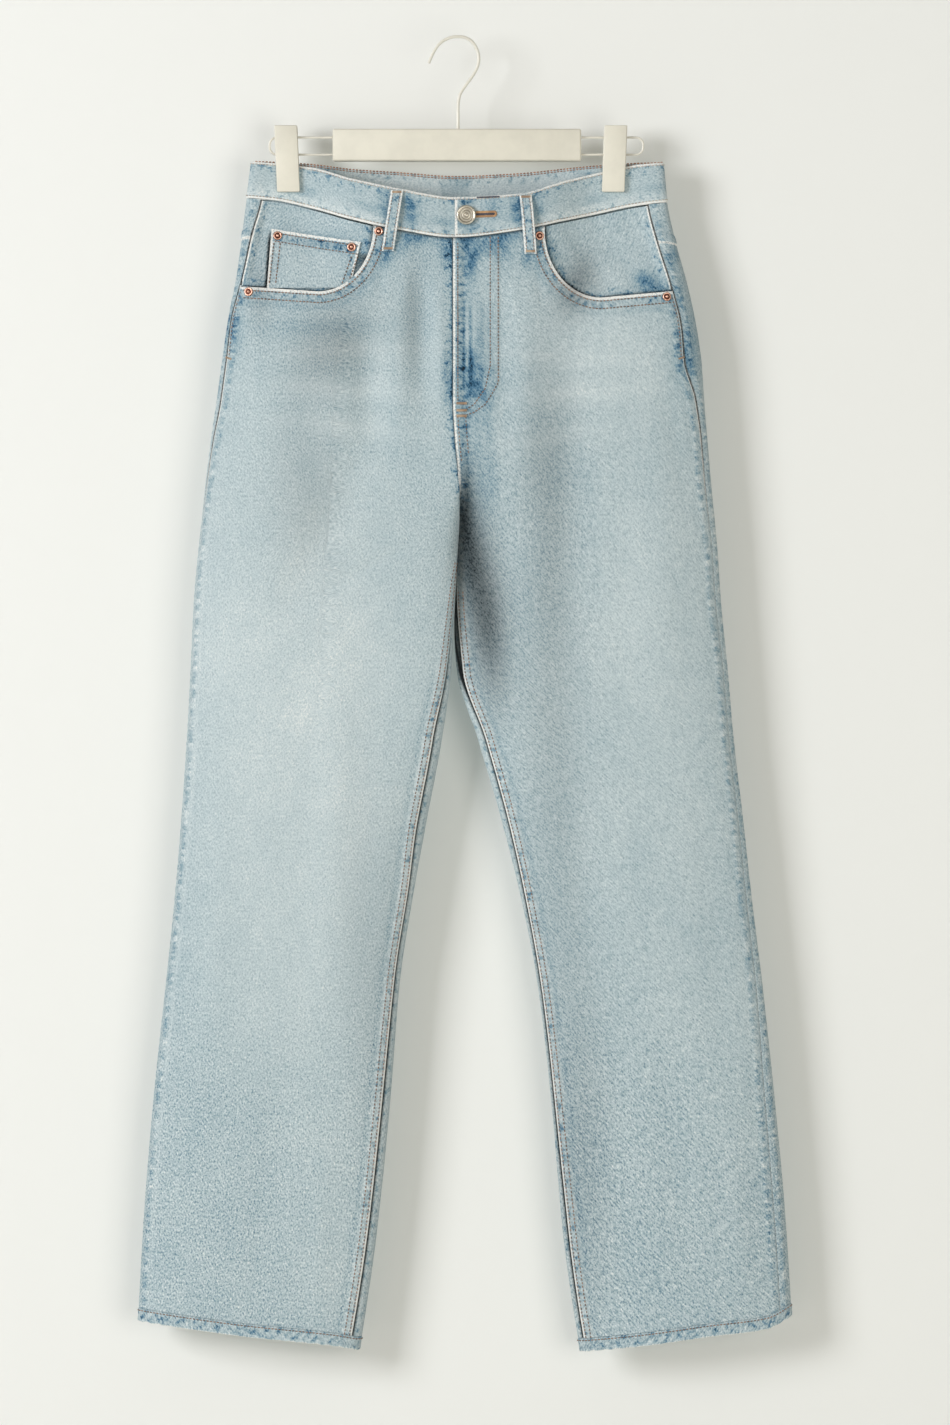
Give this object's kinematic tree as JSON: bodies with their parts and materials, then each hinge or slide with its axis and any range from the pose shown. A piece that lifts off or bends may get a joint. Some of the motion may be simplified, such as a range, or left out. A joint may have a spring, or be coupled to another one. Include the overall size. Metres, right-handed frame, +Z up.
{
  "type": "boyfriend jeans on a clip hanger",
  "caption": "Light-wash straight-leg boyfriend jeans hung flat by the waistband from a cream bar hanger with wire hook and spring clips.",
  "frame": {"origin": "underside of the hook's crown, where the rail bears", "axes": "+Z up, front of the jeans faces -Y, +X is the viewer's right (the wearer's left)"},
  "size_m": [0.5902, 0.0576, 1.1869],
  "materials": {
    "denim": "washed light-blue denim twill, matt, faded on the thighs and worn white along the seams",
    "zip_tape": "woven zip tape, matt",
    "button_metal": "aged pale brass, satin",
    "rivet_copper": "copper, satin",
    "hanger_plastic": "cream, satin matt",
    "hanger_wire": "ivory painted steel wire"
  },
  "bodies": {
    "root": {"front_panel_r": "denim", "front_panel_l": "denim", "back_panel_r": "denim", "back_panel_l": "denim", "yoke_r": "denim", "yoke_l": "denim", "waistband": "denim", "hem_r": "denim", "hem_l": "denim", "pocket_facing_r": "denim", "pocket_facing_l": "denim", "coin_pocket": "denim", "back_pocket_r": "denim", "back_pocket_l": "denim", "fly_shield": "denim", "zip": "zip_tape", "belt_loop_front_r": "denim", "belt_loop_front_l": "denim", "belt_loop_side_r": "denim", "belt_loop_side_l": "denim", "belt_loop_back": "denim", "button": "button_metal", "rivet_hip_r": "rivet_copper", "rivet_hip_l": "rivet_copper", "rivet_seam_r": "rivet_copper", "rivet_seam_l": "rivet_copper", "rivet_coin_outer": "rivet_copper", "rivet_coin_inner": "rivet_copper", "hanger_bar": "hanger_plastic", "hanger_hook": "hanger_wire", "hanger_wire_r": "hanger_wire", "hanger_wire_l": "hanger_wire", "clip_r": "hanger_plastic", "clip_l": "hanger_plastic"}
  },
  "joints": []
}
